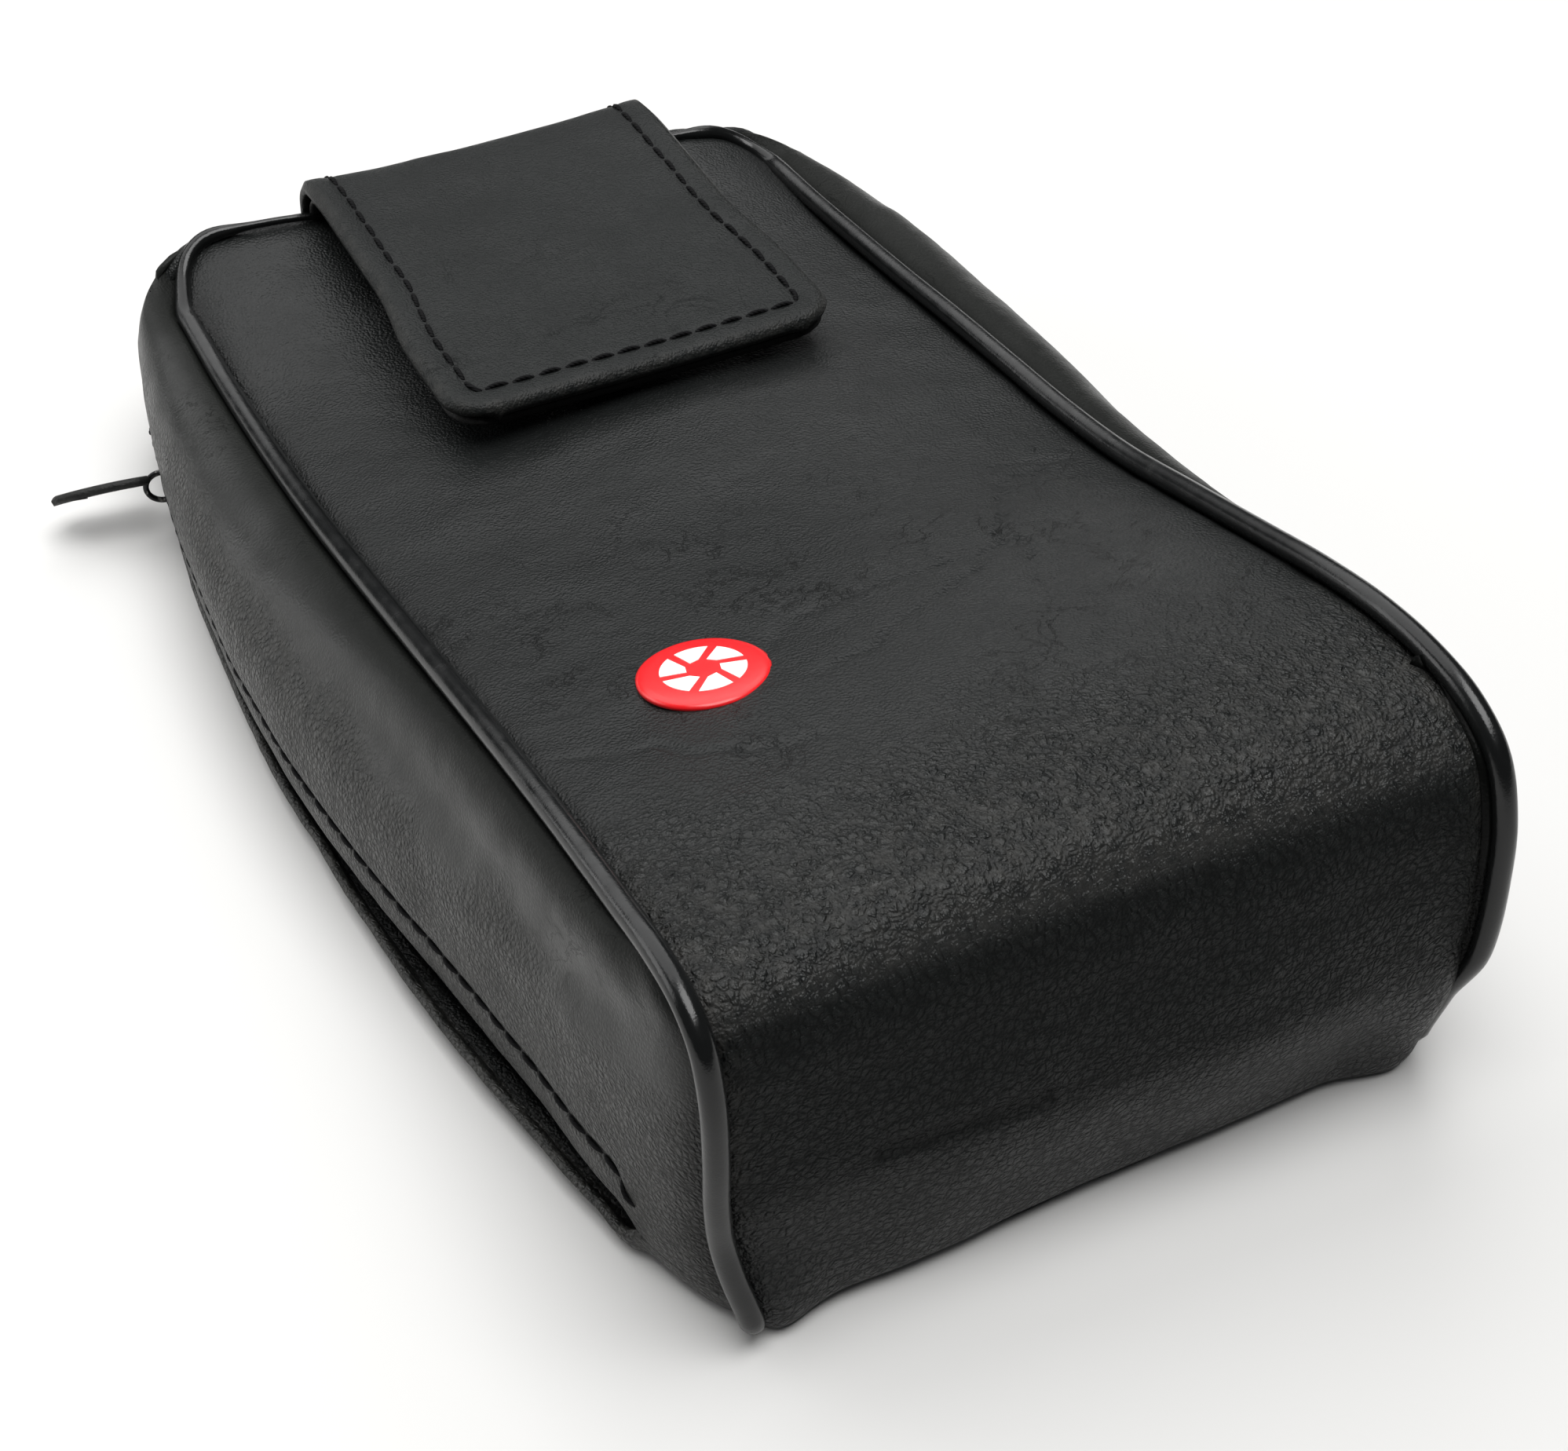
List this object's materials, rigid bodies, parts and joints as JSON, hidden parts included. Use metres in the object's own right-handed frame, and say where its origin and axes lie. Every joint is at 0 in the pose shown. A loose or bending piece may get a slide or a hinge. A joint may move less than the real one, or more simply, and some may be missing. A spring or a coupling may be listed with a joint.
{
  "type": "leather ever ready camera case",
  "caption": "Soft leather ever ready pouch for a compact camera, with a magnetic top flap, piped gussets and a curved zipped rear pocket.",
  "frame": {"origin": "centre of the flat back face", "axes": "+Z out through the front panel, +Y towards the mouth and the flap, +X to the right of the front panel"},
  "size_m": [0.1092, 0.1568, 0.0424],
  "materials": {
    "shell_leather": "fine-grained charcoal black leather with a soft sheen",
    "gusset_leather": "softer pebbled black leather",
    "flap_lining_leather": "smooth black leather",
    "piping_leather": "glossy black leather wrap",
    "cord": "twisted cotton cord",
    "foam": "soft grey foam",
    "board": "pressed leatherboard",
    "lining_cloth": "black brushed cloth",
    "thread": "waxed black thread",
    "zip_tape": "woven black tape",
    "zip_coil": "black nylon coil",
    "black_metal": "black enamelled metal",
    "badge_red": "glossy red enamel",
    "badge_white": "white enamel",
    "closure_steel": "nickel-plated steel"
  },
  "bodies": {
    "root": {"front_base_leather": "shell_leather", "back_leather": "shell_leather", "left_gusset_leather": "gusset_leather", "right_gusset_leather": "gusset_leather", "front_padding": "foam", "base_padding": "foam", "left_gusset_padding": "foam", "right_gusset_padding": "foam", "back_board": "board", "front_lining": "lining_cloth", "base_lining": "lining_cloth", "left_gusset_lining": "lining_cloth", "right_gusset_lining": "lining_cloth", "back_lining": "lining_cloth", "divider_board": "board", "divider_front_lining": "lining_cloth", "divider_rear_lining": "lining_cloth", "left_piping_cover": "piping_leather", "left_piping_cord": "cord", "right_piping_cover": "piping_leather", "right_piping_cord": "cord", "mouth_rim": "shell_leather", "flap_hinge_roll": "shell_leather", "flap_root_leather": "shell_leather", "hem_stitching": "thread", "zip_hem_facing": "gusset_leather", "upper_zip_tape": "zip_tape", "lower_zip_tape": "zip_tape", "upper_zip_coil": "zip_coil", "lower_zip_coil": "zip_coil", "zip_top_stop": "black_metal", "zip_bottom_stop": "black_metal", "badge_disc": "badge_red", "badge_emblem": "badge_white", "closure_plate": "closure_steel", "closure_plate_washer": "closure_steel"},
    "flap": {"flap_outer_leather": "shell_leather", "flap_stiffener": "board", "flap_lining": "flap_lining_leather", "flap_stitching": "thread", "closure_magnet": "closure_steel", "closure_magnet_washer": "closure_steel"},
    "zip_slider": {"zip_slider_body": "black_metal", "zip_slider_bridge": "black_metal"},
    "zip_pull": {"zip_pull_ring": "black_metal", "zip_pull_tab": "flap_lining_leather", "zip_pull_rivet": "black_metal"}
  },
  "joints": [
    {"name": "flap_hinge", "type": "hinge", "parent": "root", "child": "flap", "pos_m": [0.0012, 0.0784, 0.0012], "axis": [-1, 0, 0], "range_deg": [0, 90]},
    {"name": "zip_travel", "type": "hinge", "parent": "root", "child": "zip_slider", "pos_m": [0.2285, 0.012, 0.0054], "axis": [0, 0, 1], "range_deg": [0, 23.94]},
    {"name": "pull_swing", "type": "hinge", "parent": "zip_slider", "child": "zip_pull", "pos_m": [-0.04515, 0.06157, 0.0054], "axis": [0, 0, 1], "range_deg": [-35, 35]}
  ]
}
